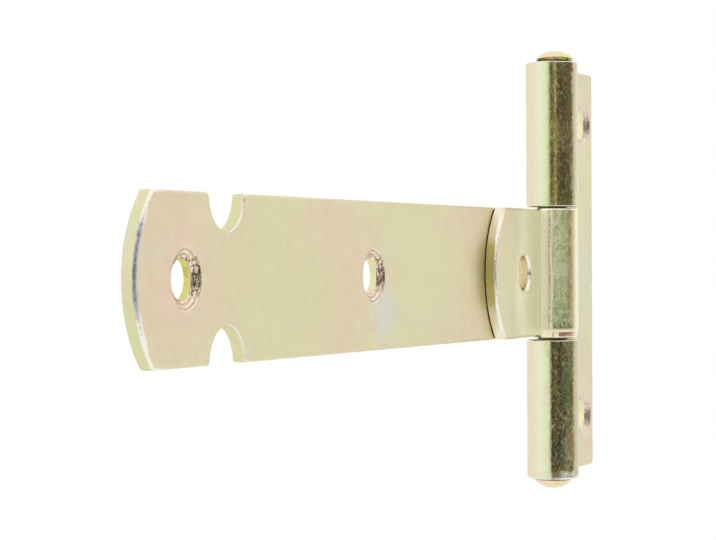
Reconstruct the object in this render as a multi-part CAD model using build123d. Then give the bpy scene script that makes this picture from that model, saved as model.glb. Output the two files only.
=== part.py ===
from build123d import *
import math
import os

# Light tee hinge in pressed sheet steel, opened flat.
# Frame: Z runs along the pin. Y- is the countersunk front, where the barrel
# stands proud; both leaves lie against the plane at the back of the barrel.
# The strap runs to X-, the cross leaf to X+. The origin lies on that back
# plane, midway between the two screw holes of the cross leaf.

# ---- driving dimensions, mm ----
SHEET = 2.1            # plated sheet thickness of both leaves
PIN_D = 5.6            # rivet wire
RUN = 0.05             # radial running fit of the knuckles on the pin
RI = PIN_D / 2 + RUN   # bore radius of the knuckles
RO = RI + SHEET        # outer radius of the barrel
RM = (RI + RO) / 2

BARREL_H = 80.0        # height of the cross leaf, end to end of the barrel
LEAF_FAR = 33.0        # pin axis to the free edge of the cross leaf
CUT_TOP = 12.25        # window for the strap's knuckle, above and below
CUT_BOT = -13.30       # mid height of the barrel
CUT_X = 6.2            # pin axis to the inner edge of the window
CUT_R = 1.0            # punched corners of the window
CORNER_R = 0.9         # corners of the free edge
KNUCKLE_END = 31.0     # where the rolled edge stops, degrees past X+

STRAP_W = 24.3         # strip width
STRAP_ZC = -0.42       # strip's middle, it hangs low in the window
STRAP_END = -157.0     # pin axis to the rounded tip
END_R = 17.0           # rounded ends of the strip
NOTCH_X = -130.4       # half-round notches behind the tip
NOTCH_R = 5.35
NOTCH_LIP = 0.7        # eased corners of the notches
TIP_LIP = 0.9          # eased corners of the tip
LAP_GAP = 0.12         # the lapped end does not quite close on the strap
LAP_TURN = 92.0        # how far past the front the roll turns before the joggle
LAP_END = -29.0        # pin axis to the rounded end of the lap

HOLE_D = 5.8           # screw holes
SINK_D = 8.8           # countersinks, on the front
SINK_ANGLE = 118.0     # full angle of the countersinks
LEAF_HOLE_X = 27.1
LEAF_HOLE_Z = 29.5
STRAP_HOLES_X = (-142.7, -78.8)
LAP_HOLE_X = -13.7
LAP_HOLE_D = 6.3       # plain hole through lap and strap, with a drawn-in rim
LAP_HOLE_RIM = 0.75

EASE = 0.42            # rolled edge of the punched outline
EASE_BARREL = 0.50     # rolled ends of the knuckles

HEAD_TOP_D, HEAD_TOP_H, HEAD_TOP_GAP = 7.3, 1.75, 0.50
HEAD_BOT_D, HEAD_BOT_H, HEAD_BOT_GAP = 7.1, 1.75, 0.12
HEAD_TOP_OFF = (0.24, -0.53)  # the upper head is formed off the shank's middle

# the frame's origin, seen from the pin axis
ORIGIN = Vector(LEAF_HOLE_X, RO, 0)


def polar(r, deg):
    return (r * math.cos(math.radians(deg)), r * math.sin(math.radians(deg)))


def arc(r, a0, a1, c=(0.0, 0.0)):
    """Arc about c from angle a0 to a1, in degrees."""
    p = [
        (c[0] + r * math.cos(math.radians(a)), c[1] + r * math.sin(math.radians(a)))
        for a in (a0, (a0 + a1) / 2, a1)
    ]
    return ThreePointArc(*p)


def section(curves):
    return make_face(Wire(curves))


def slab(sketch, y_back, thick):
    """Extrudes a sketch drawn in X and Z from y_back towards the front."""
    return extrude(Plane.XZ.offset(-y_back) * sketch, thick)


def screw_hole(x, z, y_front):
    """Plain hole with a shallow countersink in the front face."""
    slope = math.tan(math.radians(SINK_ANGLE / 2))
    depth = (SINK_D - HOLE_D) / 2 / slope
    at = Plane(origin=(x, y_front, z), x_dir=(1, 0, 0), z_dir=(0, 1, 0))
    drill = at * Pos(0, 0, SHEET / 2) * Cylinder(HOLE_D / 2, SHEET * 3)
    lead = 0.4
    sink = (
        at
        * Pos(0, 0, (depth - lead) / 2)
        * Cone(SINK_D / 2 + lead * slope, HOLE_D / 2, depth + lead)
    )
    return drill + sink


# ---- cross leaf: plate and two rolled knuckles, one sheet ----
rolled = section(
    [
        Line((0, RO), (CUT_X + 4, RO)),
        Line((CUT_X + 4, RO), (CUT_X + 4, RI)),
        Line((CUT_X + 4, RI), (0, RI)),
        arc(RI, 90, 360 + KNUCKLE_END),
        Line(polar(RI, KNUCKLE_END), polar(RO, KNUCKLE_END)),
        arc(RO, 360 + KNUCKLE_END, 90),
    ]
)
upper = extrude(Pos(0, 0, CUT_TOP) * rolled, BARREL_H / 2 - CUT_TOP)
lower = extrude(Pos(0, 0, -BARREL_H / 2) * rolled, CUT_BOT + BARREL_H / 2)

plate_plan = Pos((CUT_X + LEAF_FAR) / 2, 0) * Rectangle(LEAF_FAR - CUT_X, BARREL_H)
cross_leaf = slab(plate_plan, RO, SHEET) + upper + lower
window_h = CUT_TOP - CUT_BOT
window_plan = Pos(CUT_X / 2 + 0.2 - 5, (CUT_TOP + CUT_BOT) / 2) * RectangleRounded(
    CUT_X + 0.4 + 10 - 0.4, window_h, CUT_R
)
cross_leaf = cross_leaf - slab(window_plan, RO + 1, RO * 2 + 2)

far_corners = cross_leaf.edges().filter_by(Axis.Y).group_by(Axis.X)[-1]
cross_leaf = fillet(far_corners, CORNER_R)


def leaf_outline(e):
    """Outline edges on the leaf's front, and the ends of its knuckles outside."""
    box = e.bounding_box()
    m = e.position_at(0.5)
    front = abs(box.max.Y - RI) < 1e-3 and abs(box.min.Y - RI) < 1e-3 and m.X > CUT_X
    barrel = abs(math.hypot(m.X, m.Y) - RO) < 1e-2 and box.max.Z - box.min.Z < 1e-3
    return front or (barrel and e.length > SHEET)


rolled_over = cross_leaf.edges().filter_by(leaf_outline)
cross_leaf = fillet(rolled_over, EASE)
for z in (-LEAF_HOLE_Z, LEAF_HOLE_Z):
    cross_leaf = cross_leaf - screw_hole(LEAF_HOLE_X, z, RI)

# ---- strap leaf: strap, centre knuckle and lapped end, one strip ----
z_top = STRAP_ZC + STRAP_W / 2
z_bot = STRAP_ZC - STRAP_W / 2

y_lap = RI - LAP_GAP - SHEET / 2                      # middle of the lap
c = math.cos(math.radians(LAP_TURN))
s = math.sin(math.radians(LAP_TURN))
r_jog = (y_lap + RM * c) / (1 - c)                    # middle radius of the joggle
cj = (-(RM + r_jog) * s, -(RM + r_jog) * c)           # its centre
a_end = -90 - LAP_TURN                                # end of the roll
x_flat = cj[0]                                        # the lap is flat from here

roll = section(
    [
        Line((0, RI), (0, RO)),
        arc(RO, 90, a_end),
        arc(r_jog - SHEET / 2, 90 - LAP_TURN, 90, cj),
        Line((x_flat, y_lap - SHEET / 2), (x_flat, y_lap + SHEET / 2)),
        arc(r_jog + SHEET / 2, 90, 90 - LAP_TURN, cj),
        arc(RI, a_end, 90),
    ]
)
knuckle = extrude(Pos(0, 0, z_bot) * roll, STRAP_W)


def strip_plan(x_end, x_start):
    """A strip whose far end is an arc of END_R."""
    block = Pos((x_end + x_start) / 2, STRAP_ZC) * Rectangle(x_start - x_end, STRAP_W)
    keep = Pos(x_end + END_R, STRAP_ZC) * Circle(END_R)
    rest = Pos((x_end + END_R + x_start + 1) / 2, STRAP_ZC) * Rectangle(
        x_start + 1 - x_end - END_R, STRAP_W + 2
    )
    return block & (keep + rest)


strap_plan = strip_plan(STRAP_END, 0)
for z in (z_top, z_bot):
    strap_plan = strap_plan - Pos(NOTCH_X, z) * Circle(NOTCH_R)
strap = slab(strap_plan, RO, SHEET)
uprights = strap.edges().filter_by(Axis.Y).filter_by(lambda e: e.center().X < -1)
strap = fillet(uprights.sort_by(Axis.X)[:2], TIP_LIP)
uprights = strap.edges().filter_by(Axis.Y).filter_by(
    lambda e: abs(abs(e.center().X - NOTCH_X) - NOTCH_R) < 0.3
)
strap = fillet(uprights, NOTCH_LIP)

lap_plan = strip_plan(LAP_END, x_flat)
lap = slab(lap_plan, y_lap + SHEET / 2, SHEET)
lap = fillet(lap.edges().filter_by(Axis.Y).sort_by(Axis.X)[:2], TIP_LIP)
strap_leaf = strap + knuckle + lap

# the punched outline is rolled over on the faces that show
ends = (z_top, z_bot)


def on_outline(e):
    """Edges of the strip's outline on the strap's front."""
    box = e.bounding_box()
    return abs(box.min.Y - RI) < 1e-3 and abs(box.max.Y - RI) < 1e-3 and e.center().X < -1


def on_back(e):
    """Edges of the outline on the strap's back, round the barrel and along the lap's front."""
    box = e.bounding_box()
    flat_end = abs(box.max.Z - box.min.Z) < 1e-3 and min(
        abs(box.max.Z - z) for z in ends
    ) < 1e-3
    m = e.position_at(0.5)
    r = math.hypot(m.X, m.Y)
    outer = flat_end and (
        (abs(r - RO) < 1e-2)
        or abs(math.hypot(m.X - cj[0], m.Y - cj[1]) - (r_jog - SHEET / 2)) < 1e-2
        or (abs(m.Y - (y_lap - SHEET / 2)) < 1e-3 and m.X < x_flat)
    )
    tip_of_lap = (
        abs(box.max.Y - box.min.Y) < 1e-3
        and abs(m.Y - (y_lap - SHEET / 2)) < 1e-3
        and m.X < x_flat
    )
    return outer or tip_of_lap


strap_leaf = fillet(strap_leaf.edges().filter_by(on_outline), EASE)
strap_leaf = fillet(strap_leaf.edges().filter_by(on_back), EASE_BARREL)

for x in STRAP_HOLES_X:
    strap_leaf = strap_leaf - screw_hole(x, STRAP_ZC, RI)
hole_at = Plane(origin=(LAP_HOLE_X, 0, STRAP_ZC), x_dir=(1, 0, 0), z_dir=(0, 1, 0))
strap_leaf = strap_leaf - hole_at * Cylinder(LAP_HOLE_D / 2, 4 * RO)
rim = strap_leaf.edges().filter_by(GeomType.CIRCLE).filter_by(
    lambda e: abs(e.center().Y - (y_lap - SHEET / 2)) < 1e-3
    and abs(e.radius - LAP_HOLE_D / 2) < 1e-3
)
strap_leaf = fillet(rim, LAP_HOLE_RIM)

# ---- pin: rivet with two low domed heads ----
def head(d, h, z0, sign, off=(0.0, 0.0)):
    """Domed head: a short rim, then a spherical cap."""
    rim = 0.35
    cap = h - rim
    r = ((d / 2) ** 2 + cap**2) / (2 * cap)
    half = math.degrees(math.asin((d / 2) / r))
    prof = section(
        [
            Line((0, 0), (d / 2, 0)),
            Line((d / 2, 0), (d / 2, rim)),
            arc(r, 90 - half, 90, (0, h - r)),
            Line((0, h), (0, 0)),
        ]
    )
    solid = revolve(Plane.XZ * prof, Axis.Z)
    if sign < 0:
        solid = mirror(solid, Plane.XY)
    return Pos(off[0], off[1], z0) * solid


shank_lo = -BARREL_H / 2 - HEAD_BOT_GAP
shank_hi = BARREL_H / 2 + HEAD_TOP_GAP
hinge_pin = Pos(0, 0, (shank_lo + shank_hi) / 2) * Cylinder(
    PIN_D / 2, shank_hi - shank_lo
)
hinge_pin = (
    hinge_pin
    + head(HEAD_TOP_D, HEAD_TOP_H, shank_hi, 1, HEAD_TOP_OFF)
    + head(HEAD_BOT_D, HEAD_BOT_H, shank_lo, -1)
)

os.makedirs("parts", exist_ok=True)
for name, shape in (
    ("cross_leaf", cross_leaf),
    ("strap_leaf", strap_leaf),
    ("hinge_pin", hinge_pin),
):
    placed = Pos(-ORIGIN.X, -ORIGIN.Y, -ORIGIN.Z) * shape
    export_step(placed, f"parts/{name}.step")
    print(name, placed.is_valid, round(placed.volume, 2), placed.bounding_box())
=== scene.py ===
import math

import bpy
import numpy as np
from mathutils import Matrix, Vector
from mathutils.geometry import delaunay_2d_cdt


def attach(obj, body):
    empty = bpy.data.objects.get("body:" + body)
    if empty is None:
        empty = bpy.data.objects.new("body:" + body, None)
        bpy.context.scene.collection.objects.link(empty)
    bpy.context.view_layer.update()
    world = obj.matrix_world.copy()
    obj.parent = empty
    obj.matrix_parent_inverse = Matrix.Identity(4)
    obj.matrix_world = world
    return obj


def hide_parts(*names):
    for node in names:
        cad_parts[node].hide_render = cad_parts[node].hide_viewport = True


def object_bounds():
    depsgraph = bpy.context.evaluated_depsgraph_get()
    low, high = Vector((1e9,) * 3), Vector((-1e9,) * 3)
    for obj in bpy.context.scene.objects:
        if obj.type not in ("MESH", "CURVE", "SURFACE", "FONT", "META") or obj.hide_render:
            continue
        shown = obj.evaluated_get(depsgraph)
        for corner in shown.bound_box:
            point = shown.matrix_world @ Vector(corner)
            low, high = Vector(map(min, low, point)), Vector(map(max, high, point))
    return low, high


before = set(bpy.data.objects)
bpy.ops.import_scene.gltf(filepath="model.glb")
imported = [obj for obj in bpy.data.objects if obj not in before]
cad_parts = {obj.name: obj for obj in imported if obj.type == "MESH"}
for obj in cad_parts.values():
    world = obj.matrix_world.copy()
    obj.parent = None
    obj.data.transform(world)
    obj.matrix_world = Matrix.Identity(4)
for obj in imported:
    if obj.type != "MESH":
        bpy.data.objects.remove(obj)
cad_lo, cad_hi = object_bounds()

# Each sheet piece is made the way the real one is: a flat blank with its
# outline, holes and rolled-over edges, then bent along its section.
# Lengths here are millimetres in the pin's frame: Z along the pin, Y- the
# front. FRAME_AT is the row frame's origin seen from the pin axis.
T = 2.1
PIN_R = 2.8
RI = 2.85
RO = RI + T
RM = (RI + RO) / 2
FRAME_AT = np.array([27.1, RO, 0.0])
SKIN = 0.004  # the meshes keep this far inside the CAD box


def smooth(a, b, x):
    t = np.clip((x - a) / (b - a), 0, 1)
    return t * t * (3 - 2 * t)


# ------------------------------------------------------------------ section
class Section:
    """The middle line of a bent sheet, by arc length, with the direction from face A to face B."""

    def __init__(self, parts, side):
        self.parts, self.side = [], side
        s = 0.0
        for p in parts:
            if p[0] == "line":
                n = math.hypot(p[3] - p[1], p[4] - p[2])
            else:
                n = p[3] * abs(math.radians(p[5] - p[4]))
            self.parts.append((s, s + n, p))
            s += n
        self.length = s

    def at(self, s):
        s = np.asarray(s, float)
        pos = np.zeros((len(s), 2))
        tan = np.zeros((len(s), 2))
        last = len(self.parts) - 1
        for i, (s0, s1, p) in enumerate(self.parts):
            on = (s >= s0 if i else s > -1e9) & (s < s1 if i < last else s < 1e9)
            u = s[on] - s0
            if p[0] == "line":
                d = np.array([p[3] - p[1], p[4] - p[2]])
                d = d / np.linalg.norm(d)
                pos[on] = np.array([p[1], p[2]]) + u[:, None] * d
                tan[on] = d
            else:
                _, cx, cy, r, a0, a1 = p
                sign = 1 if a1 > a0 else -1
                a = math.radians(a0) + sign * u / r
                pos[on] = np.c_[cx + r * np.cos(a), cy + r * np.sin(a)]
                tan[on] = sign * np.c_[-np.sin(a), np.cos(a)]
        nor = np.c_[-tan[:, 1], tan[:, 0]] * self.side
        return pos, tan, nor


# -------------------------------------------------------------------- blank
def arc_points(cx, cz, r, a0, a1, step=0.3, least=4):
    n = max(least, int(abs(math.radians(a1 - a0)) * r / step))
    a = np.radians(np.linspace(a0, a1, n + 1))
    return np.c_[cx + r * np.cos(a), cz + r * np.sin(a)]


def outline(items, cols, rows):
    """A closed outline. Straight runs are divided where the grid's columns and rows cross them."""
    pts = []
    for it in items:
        new = arc_points(*it[1:]) if it[0] == "A" else np.array([it[1:3]], float)
        for k, q in enumerate(new):
            if pts:
                p = pts[-1]
                d = q - p
                if np.hypot(*d) < 1e-4:
                    continue
                if k == 0:
                    if abs(d[1]) < 1e-6:
                        cut = cols[(cols > min(p[0], q[0]) + 0.08) & (cols < max(p[0], q[0]) - 0.08)]
                        cut = cut if d[0] > 0 else cut[::-1]
                        pts += [np.array([c, q[1]]) for c in cut]
                    elif abs(d[0]) < 1e-6:
                        cut = rows[(rows > min(p[1], q[1]) + 0.08) & (rows < max(p[1], q[1]) - 0.08)]
                        cut = cut if d[1] > 0 else cut[::-1]
                        pts += [np.array([q[0], c]) for c in cut]
            pts.append(q)
    pts = np.array(pts)
    # close it: divide the last straight run too
    p, q = pts[-1], pts[0]
    d = q - p
    extra = []
    if np.hypot(*d) < 1e-4:
        pts = pts[:-1]
    elif abs(d[1]) < 1e-6:
        cut = cols[(cols > min(p[0], q[0]) + 0.08) & (cols < max(p[0], q[0]) - 0.08)]
        extra = [[c, q[1]] for c in (cut if d[0] > 0 else cut[::-1])]
    elif abs(d[0]) < 1e-6:
        cut = rows[(rows > min(p[1], q[1]) + 0.08) & (rows < max(p[1], q[1]) - 0.08)]
        extra = [[q[0], c] for c in (cut if d[1] > 0 else cut[::-1])]
    if extra:
        pts = np.r_[pts, np.array(extra)]
    return pts


def outward(pts):
    """Unit normals out of a closed counter-clockwise outline."""
    a = pts - np.roll(pts, 1, 0)
    b = np.roll(pts, -1, 0) - pts
    a = a / np.linalg.norm(a, axis=1)[:, None]
    b = b / np.linalg.norm(b, axis=1)[:, None]
    t = a + b
    t = t / np.linalg.norm(t, axis=1)[:, None]
    return np.c_[t[:, 1], -t[:, 0]]


def inside(points, loop):
    x, y = points[:, 0][:, None], points[:, 1][:, None]
    x0, y0 = loop[:, 0][None], loop[:, 1][None]
    x1, y1 = np.roll(loop[:, 0], -1)[None], np.roll(loop[:, 1], -1)[None]
    cross = (y0 > y) != (y1 > y)
    dy = np.where(y1 == y0, 1e-12, y1 - y0)
    hit = cross & (x < (x1 - x0) * (y - y0) / dy + x0)
    return hit.sum(1) % 2 == 1


class Mesher:
    """Collects points of the bent sheet: blank place, depth from face A, normal, edge wear with its painted highlight.
    """

    def __init__(self, section, lift=None, spread=None):
        self.section, self.lift, self.spread = section, lift, spread
        self.s, self.z, self.d = [], [], []
        self.ns, self.nz, self.nn = [], [], []
        self.edge, self.cut, self.b, self.hole, self.crest = [], [], [], [], []
        self.faces, self.n = [], 0

    def add(self, s, z, d, ns, nz, nn, edge=0.0, cut=0.0, b=0.0, hole=0.0, crest=0.5):
        k = len(s)
        for store, v in ((self.s, s), (self.z, z), (self.d, d), (self.ns, ns), (self.nz, nz), (self.nn, nn), (self.edge, edge), (self.cut, cut), (self.b, b), (self.hole, hole), (self.crest, crest)):
            store.append(np.broadcast_to(np.asarray(v, float), (k,)).copy())
        ids = np.arange(self.n, self.n + k)
        self.n += k
        return ids

    def band(self, r0, r1):
        """Quads between two closed rings with as many points."""
        k = len(r0)
        for i in range(k):
            j = (i + 1) % k
            self.faces.append((int(r0[i]), int(r0[j]), int(r1[j]), int(r1[i])))

    def rim(self, loop, a_in, a_dp, b_in, b_dp, steps=6, wear_and_highlight=1.0):
        """The edge of the sheet along an outline: rounding at face A, sheared wall, rounding at face B."""
        m = outward(loop)
        one = np.ones(len(loop))
        a_in, a_dp, b_in, b_dp, wear_and_highlight = (v * one for v in (a_in, a_dp, b_in, b_dp, wear_and_highlight))
        rings = []

        def ring(inset, depth, ph, e_in, e_dp, sign, edge, cut, b):
            p = loop - m * inset[:, None]
            no, nn = math.sin(ph) / e_in, sign * math.cos(ph) / e_dp
            q = np.hypot(no, nn)
            rings.append(self.add(p[:, 0], p[:, 1], depth, m[:, 0] * no / q, m[:, 1] * no / q, nn / q, edge, cut, b))

        sup = 0.16
        ring(a_in + sup, 0 * one, 0.0, one, one, -1, 0.0, 0.0, 0.0)
        for i in range(steps + 1):
            ph = math.pi / 2 * i / steps
            ring(a_in * (1 - math.sin(ph)), a_dp * (1 - math.cos(ph)), ph, a_in, a_dp, -1, wear_and_highlight * math.sin(2 * ph) ** 0.7, smooth(0.8, 1.0, i / steps), 0.0)
        for f in (0.3, 0.65):
            ring(0 * one, a_dp + (T - a_dp - b_dp) * f, math.pi / 2, one, one, 1, 0.0, 1.0, smooth(0.2, 0.9, f))
        for i in range(steps, -1, -1):
            ph = math.pi / 2 * i / steps
            ring(b_in * (1 - math.sin(ph)), T - b_dp * (1 - math.cos(ph)), ph, b_in, b_dp, 1, wear_and_highlight * math.sin(2 * ph) ** 0.7, smooth(0.8, 1.0, i / steps), 1.0)
        ring(b_in + sup, T * one, 0.0, one, one, 1, 0.0, 0.0, 1.0)
        for r0, r1 in zip(rings, rings[1:]):
            self.band(r0, r1)
        return rings[0], rings[-1]

    def bore(self, cs, cz, profile, count=144, ripple=None):
        """A hole: profile is rows of radius, depth, normal towards the hole's axis, normal towards face B, edge, cut."""
        a = np.linspace(0, 2 * math.pi, count, endpoint=False)
        ca, sa = np.cos(a), np.sin(a)
        rings = []
        for i, (r, d, n_in, n_b, edge, cut) in enumerate(profile):
            rr, dd, ni, nb, nt = r + 0 * a, d + 0 * a, n_in + 0 * a, n_b + 0 * a, 0 * a
            crest = 0.5
            if ripple is not None:
                rr, dd, ni, nb, nt, crest = ripple(i, a, rr, dd, ni, nb, nt)
            rings.append(self.add(cs + rr * ca, cz + rr * sa, dd, -ni * ca - nt * sa, -ni * sa + nt * ca, nb, edge, cut, smooth(0.4, 0.9, d / T), cut, crest))
        for r0, r1 in zip(rings, rings[1:]):
            self.band(r0, r1)
        return rings[0], rings[-1]

    def face(self, rings, depth, grid, keep):
        """Fills face A (depth 0) or face B (depth T) between its rings, over the grid's points."""
        S = np.concatenate(self.s)
        Z = np.concatenate(self.z)
        loops = [np.c_[S[r], Z[r]] for r in rings]
        ok = inside(grid, loops[0])
        for l in loops[1:]:
            ok &= ~inside(grid, l)
        grid = grid[ok]
        keep = keep[ok]
        far = np.ones(len(grid), bool)
        for l in loops:
            a, b = l, np.roll(l, -1, 0)
            for k in range(0, len(grid), 4000):
                g = grid[k : k + 4000]
                ab = b - a
                u = ((g[:, None] - a) * ab).sum(2) / np.maximum((ab**2).sum(1), 1e-12)
                u = np.clip(u, 0, 1)
                q = a + u[..., None] * ab
                dist = np.sqrt(((g[:, None] - q) ** 2).sum(2)).min(1)
                far[k : k + 4000] &= dist > keep[k : k + 4000]
        grid = grid[far]
        sign = -1.0 if depth == 0 else 1.0
        ids = self.add(grid[:, 0], grid[:, 1], depth, 0, 0, sign, 0, 0, 0 if depth == 0 else 1) if len(grid) else np.zeros(0, int)
        where = np.concatenate([*rings, ids])
        xy = np.r_[np.concatenate(loops), grid]
        edges, k = [], 0
        for l in loops:
            edges += [(k + i, k + (i + 1) % len(l)) for i in range(len(l))]
            k += len(l)
        out = delaunay_2d_cdt([Vector(map(float, p)) for p in xy], edges, [], 0, 1e-7)
        if len(out[0]) != len(xy):
            raise RuntimeError(f"fill: {len(xy)} points in, {len(out[0])} out")
        back = [o[0] for o in out[3]]
        tri = np.array([[back[i] for i in f] for f in out[2]])
        mid = xy[tri].mean(1)
        ok = np.zeros(len(tri), bool)
        for k in range(0, len(tri), 4000):
            m = mid[k : k + 4000]
            good = inside(m, loops[0])
            for l in loops[1:]:
                good &= ~inside(m, l)
            ok[k : k + 4000] = good
        self.faces += [tuple(int(where[i]) for i in t) for t in tri[ok]]

    def build(self, name):
        s, z, d = (np.concatenate(v) for v in (self.s, self.z, self.d))
        ns, nz, nn = (np.concatenate(v) for v in (self.ns, self.nz, self.nn))
        b = np.concatenate(self.b)
        z0 = z
        if self.spread is not None:
            z = z + self.spread(s, z)
        if self.lift is not None:
            h = 0.02
            f0 = self.lift(s, z0)
            fs = (self.lift(s + h, z0) - self.lift(s - h, z0)) / (2 * h)
            fz = (self.lift(s, z0 + h) - self.lift(s, z0 - h)) / (2 * h)
            d = d + b * f0
            ns = ns - b * np.maximum(nn, 0) * fs
            nz = nz - b * np.maximum(nn, 0) * fz
        pos, tan, nor = self.section.at(s)
        co = np.zeros((len(s), 3))
        co[:, :2] = pos + nor * (d - T / 2)[:, None]
        co[:, 2] = z
        nv = np.zeros_like(co)
        nv[:, :2] = tan * ns[:, None] + nor * nn[:, None]
        nv[:, 2] = nz
        nv /= np.linalg.norm(nv, axis=1)[:, None]
        return make_object(name, co, self.faces, nv, {"wear_and_highlight": np.concatenate(self.edge), "sheared": np.concatenate(self.cut), "bored": np.concatenate(self.hole), "crest": np.concatenate(self.crest)})


def make_object(name, co, faces, normals=None, attributes=None):
    """A mesh object in the row frame, in metres, from points in mm in the pin's frame."""
    co = co - FRAME_AT
    for axis in range(3):
        co[:, axis] = np.clip(co[:, axis], cad_lo[axis] * 1000 + SKIN, cad_hi[axis] * 1000 - SKIN)
    if normals is not None:
        fixed = []
        for f in faces:
            p = co[list(f)]
            g = np.zeros(3)
            for i in range(1, len(f) - 1):
                g += np.cross(p[i] - p[0], p[i + 1] - p[0])
            fixed.append(f if g @ normals[list(f)].sum(0) >= 0 else f[::-1])
        faces = fixed
    me = bpy.data.meshes.new(name)
    me.from_pydata((co / 1000).tolist(), [], faces)
    me.update()
    for key, v in (attributes or {}).items():
        a = me.attributes.new(key, "FLOAT", "POINT")
        a.data.foreach_set("value", np.asarray(v, np.float32))
    me.shade_smooth()
    if normals is not None:
        me.normals_split_custom_set_from_vertices(normals.tolist())
    ob = bpy.data.objects.new(name, me)
    bpy.context.scene.collection.objects.link(ob)
    return ob


def grid_points(cols, rows, gap):
    g = np.array([(c, r) for c in cols for r in rows])
    k = np.array([gap(c) for c in cols for r in rows])
    return g, k


# --------------------------------------------------------------- screw hole
def sunk_hole(hole_r=2.9, sink_r=4.4, rings=2.4, seed=0.0, size=1.0):
    """Profile of a countersunk hole from face A: drilled cone with chatter rings, then the plain wall."""
    half = math.radians(59)
    depth = (sink_r - hole_r) / math.tan(half)
    kr, kd = math.cos(half), math.sin(half)  # the cone's normal, towards the axis and towards face A
    prof = [(sink_r + 0.42, 0.0, 0.0, -1.0, 0.0, 0.0)]
    lip = 0.24
    for i in range(5):
        ph = (math.pi / 2 - half) * i / 4
        prof.append((sink_r + lip * (1 - i / 4) * 0.7, 0.035 * (i / 4) ** 2, math.sin(ph), -math.cos(ph), 0.3 * math.sin(2 * ph), 0.0))
    n = 44
    for i in range(1, n):
        u = i / n
        prof.append((sink_r - u * (sink_r - hole_r), 0.035 + u * (depth - 0.035), kr, -kd, 0.0, 1.0))
    for i in range(5):
        ph = (math.pi / 2 - half) + half * i / 4
        prof.append((hole_r - 0.02 * math.sin(math.pi * i / 4), depth + 0.06 * i / 4, math.sin(ph), -math.cos(ph), 0.2, 1.0))
    for f in (0.2, 0.4, 0.6, 0.8, 0.95):
        prof.append((hole_r, depth + 0.06 + (T - depth - 0.18) * f, 1.0, 0.0, 0.0, 1.0))
    for i in range(5):
        ph = math.pi / 2 * i / 4
        prof.append((hole_r + 0.12 * (1 - math.cos(ph)), T - 0.12 * (1 - math.sin(ph)), math.cos(ph), math.sin(ph), 0.2, 1.0 - i / 4))
    prof.append((hole_r + 0.3, T, 0.0, 1.0, 0.0, 0.0))
    first, last = 6, 6 + n - 2
    slant = math.hypot(sink_r - hole_r, depth)

    def ripple(i, a, r, d, ni, nb, nt):
        if not first <= i <= last:
            return r, d, ni, nb, nt, 0.5
        u = (i - 5) / n
        fade = smooth(0.0, 0.1, u) * smooth(1.0, 0.92, u)

        def height(u_, a_):
            """Turned rings, uneven round the hole, broken up by chatter."""
            turn = 2 * math.pi * rings * u_ + 0.5 * np.sin(2 * a_ + seed) + 0.3 * np.sin(5 * a_ + 2 * seed)
            deep = 0.80 + 0.35 * np.sin(3 * a_ + 1.7 * seed) * np.cos(a_ - 0.6 * seed) + 0.25 * np.sin(2.3 * math.pi * u_ + seed)
            deep = deep * (0.95 - 0.50 * np.cos(a_) ** 2)
            chatter = np.sin(31 * a_ + 5.0 * np.sin(3 * a_ + seed) + 9.0 * u_) * (0.45 + 0.3 * np.sin(7 * a_ + 11 * u_))
            chatter = chatter * (0.25 + 0.75 * np.cos(a_) ** 2)
            fine = np.sin(83 * a_ + 4.0 * np.sin(9 * a_ + 13 * u_)) * np.sin(23 * u_ + 3.0 * np.sin(17 * a_ + seed))
            return size * (0.044 * deep * np.cos(turn + 1.1 * chatter) + 0.012 * chatter + 0.008 * fine)

        h = height(u, a) * fade
        along = (height(u + 0.004, a) - height(u - 0.004, a)) * fade / (0.008 * slant)
        around = (height(u, a + 0.002) - height(u, a - 0.002)) * fade / (0.004 * r)
        # along runs inwards and down the cone, around runs round it
        ni = ni - along * kd
        nb = nb - along * kr
        nt = nt - around
        q = np.sqrt(ni**2 + nb**2 + nt**2)
        return r - kr * h, d - kd * h, ni / q, nb / q, nt / q, 0.5 + np.clip(h / 0.10, -0.5, 0.5)

    return prof, ripple


def plain_hole(r, rim_a, rim_b, steps=6, burr=0.0):
    """Profile of a punched hole with its own rounding at each face; a burr may stand up on face A."""
    prof = [(r + rim_a + 0.2, 0.0, 0.0, -1.0, 0.0, 0.0)]
    if burr:
        prof = [(r + rim_a + 0.62, 0.0, 0.0, -1.0, 0.0, 0.0), (r + rim_a + 0.45, 0.0, 0.35, -0.94, 0.0, 0.0), (r + rim_a + 0.15, -burr, -0.2, -0.98, 0.0, 0.5)]
    for i in range(steps + 1):
        ph = math.pi / 2 * i / steps
        prof.append((r + rim_a * (1 - math.sin(ph)), rim_a * (1 - math.cos(ph)) - burr, math.sin(ph), -math.cos(ph), 0.6 * math.sin(2 * ph), ph / math.pi * 2))
    for f in (0.3, 0.7):
        prof.append((r, rim_a + (T - rim_a - rim_b) * f, 1.0, 0.0, 0.0, 1.0))
    for i in range(steps + 1):
        ph = math.pi / 2 * i / steps
        prof.append((r + rim_b * (1 - math.cos(ph)), T - rim_b * (1 - math.sin(ph)), math.cos(ph), math.sin(ph), 0.6 * math.sin(2 * ph), 1 - ph / math.pi * 2))
    prof.append((r + rim_b + 0.2, T, 0.0, 1.0, 0.0, 0.0))
    return prof


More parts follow.
